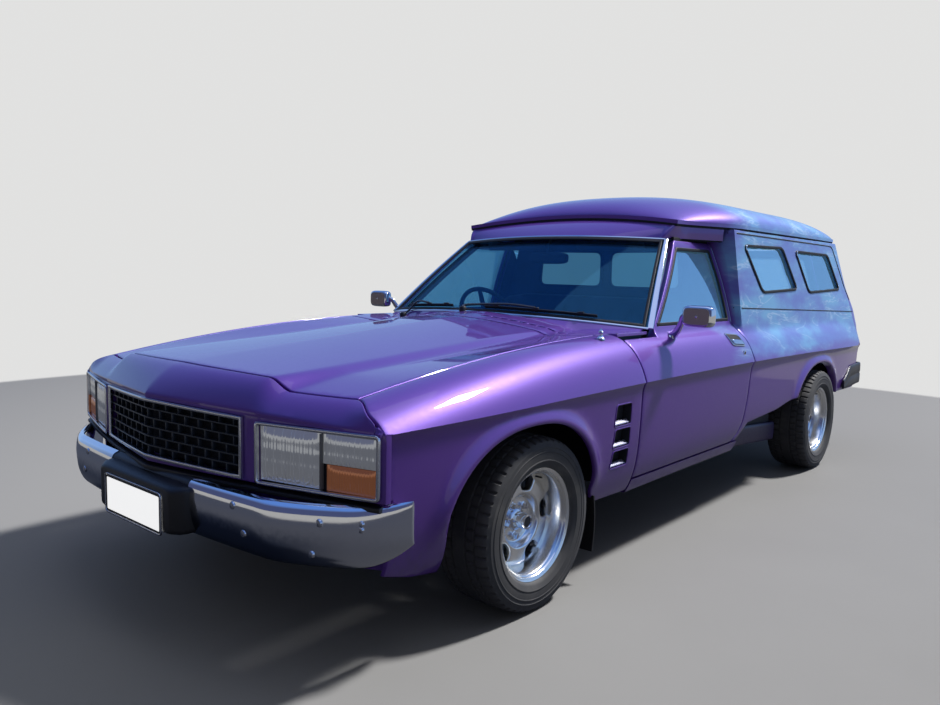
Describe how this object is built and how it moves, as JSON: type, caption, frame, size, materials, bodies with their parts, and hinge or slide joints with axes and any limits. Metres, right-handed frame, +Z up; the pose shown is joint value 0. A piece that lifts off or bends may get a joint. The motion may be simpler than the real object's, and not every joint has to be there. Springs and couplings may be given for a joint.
{
  "type": "panel van",
  "caption": "Two-door panel van of the late 1970s with a long bonnet, a high roof cap, side windows in the load space and wheels, doors, bonnet and tail doors that move.",
  "frame": {"origin": "on the ground under the middle of the van's overall box", "axes": "+Z up, the front faces -Y, the van's own left side is +X"},
  "size_m": [2.124, 4.96, 1.6179],
  "materials": {
    "purple_paint": "gloss metallic",
    "tinted_glass": "tinted",
    "chrome": "polished",
    "black_plastic": "satin black",
    "lamp_lens": "clear ribbed",
    "tail_lens": "red lens",
    "cab_trim": "woven and vinyl trim",
    "tyre_rubber": "rubber",
    "polished_alloy": "polished",
    "chassis_black": "chassis paint",
    "engine_grey": "painted",
    "exhaust_steel": "dull"
  },
  "bodies": {
    "body": {"bumper_pad": "black_plastic", "cab_header": "purple_paint", "cowl": "purple_paint", "dashboard": "cab_trim", "engine": "engine_grey", "exhaust": "exhaust_steel", "floor_pan": "purple_paint", "front_bumper": "chrome", "front_valance": "purple_paint", "fuel_tank": "engine_grey", "grille": "black_plastic", "guard_left": "purple_paint", "guard_right": "purple_paint", "headlamp_left": "lamp_lens", "headlamp_right": "lamp_lens", "nose_panel": "purple_paint", "quarter_left": "purple_paint", "quarter_right": "purple_paint", "rear_axle": "chassis_black", "rear_bumper": "black_plastic", "rear_frame": "purple_paint", "roof_cap": "purple_paint", "seat": "cab_trim", "side_glass_left_front": "tinted_glass", "side_glass_left_rear": "tinted_glass", "side_glass_right_front": "tinted_glass", "side_glass_right_rear": "tinted_glass", "subframe": "chassis_black", "tail_lamp_left": "tail_lens", "tail_lamp_right": "tail_lens", "windscreen": "tinted_glass"},
    "door_left": {"door_left": "purple_paint", "door_glass_left": "tinted_glass", "mirror_left": "chrome"},
    "door_right": {"door_right": "purple_paint", "door_glass_right": "tinted_glass", "mirror_right": "chrome"},
    "bonnet": {"bonnet": "purple_paint"},
    "liftgate": {"liftgate": "purple_paint", "liftgate_glass": "tinted_glass"},
    "tailgate": {"tailgate": "purple_paint"},
    "steering_wheel": {"steering_wheel": "black_plastic"},
    "knuckle_left": {"knuckle_left": "chassis_black"},
    "knuckle_right": {"knuckle_right": "chassis_black"},
    "wheel_front_left": {"rim_front_left": "polished_alloy", "tyre_front_left": "tyre_rubber"},
    "wheel_front_right": {"rim_front_right": "polished_alloy", "tyre_front_right": "tyre_rubber"},
    "wheel_rear_left": {"rim_rear_left": "polished_alloy", "tyre_rear_left": "tyre_rubber"},
    "wheel_rear_right": {"rim_rear_right": "polished_alloy", "tyre_rear_right": "tyre_rubber"}
  },
  "joints": [
    {"name": "door_left_hinge", "type": "hinge", "parent": "body", "child": "door_left", "pos_m": [0.925, -0.8, 0.6], "axis": [0, 0, -1], "range_deg": [0, 65]},
    {"name": "door_right_hinge", "type": "hinge", "parent": "body", "child": "door_right", "pos_m": [-0.925, -0.8, 0.6], "axis": [0, 0, 1], "range_deg": [0, 65]},
    {"name": "bonnet_hinge", "type": "hinge", "parent": "body", "child": "bonnet", "pos_m": [0, -0.905, 0.968], "axis": [-1, 0, 0], "range_deg": [0, 50]},
    {"name": "liftgate_hinge", "type": "hinge", "parent": "body", "child": "liftgate", "pos_m": [0, 2.136, 1.372], "axis": [1, 0, 0], "range_deg": [0, 75]},
    {"name": "tailgate_hinge", "type": "hinge", "parent": "body", "child": "tailgate", "pos_m": [0, 2.447, 0.6435], "axis": [-1, 0, 0], "range_deg": [0, 90]},
    {"name": "steer_left", "type": "hinge", "parent": "body", "child": "knuckle_left", "pos_m": [0.7, -1.495, 0.305], "axis": [0, 0, 1], "range_deg": [-33, 33]},
    {"name": "steer_right", "type": "hinge", "parent": "body", "child": "knuckle_right", "pos_m": [-0.7, -1.495, 0.305], "axis": [0, 0, 1], "range_deg": [-33, 33]},
    {"name": "steering_wheel_turn", "type": "hinge", "parent": "body", "child": "steering_wheel", "pos_m": [-0.35, -0.275, 0.905], "axis": [0, 0.8829, 0.4695], "range_deg": [-495, 495]},
    {"name": "front_left_wheel_spin", "type": "hinge", "parent": "knuckle_left", "child": "wheel_front_left", "pos_m": [0.7, -1.495, 0.305], "axis": [1, 0, 0], "continuous": true},
    {"name": "front_right_wheel_spin", "type": "hinge", "parent": "knuckle_right", "child": "wheel_front_right", "pos_m": [-0.7, -1.495, 0.305], "axis": [1, 0, 0], "continuous": true},
    {"name": "rear_left_wheel_spin", "type": "hinge", "parent": "body", "child": "wheel_rear_left", "pos_m": [0.7, 1.401, 0.305], "axis": [1, 0, 0], "continuous": true},
    {"name": "rear_right_wheel_spin", "type": "hinge", "parent": "body", "child": "wheel_rear_right", "pos_m": [-0.7, 1.401, 0.305], "axis": [1, 0, 0], "continuous": true}
  ],
  "couplings": [
    {"joint": "steer_right", "follows": "steer_left", "ratio": 1},
    {"joint": "steering_wheel_turn", "follows": "steer_left", "ratio": 15}
  ]
}
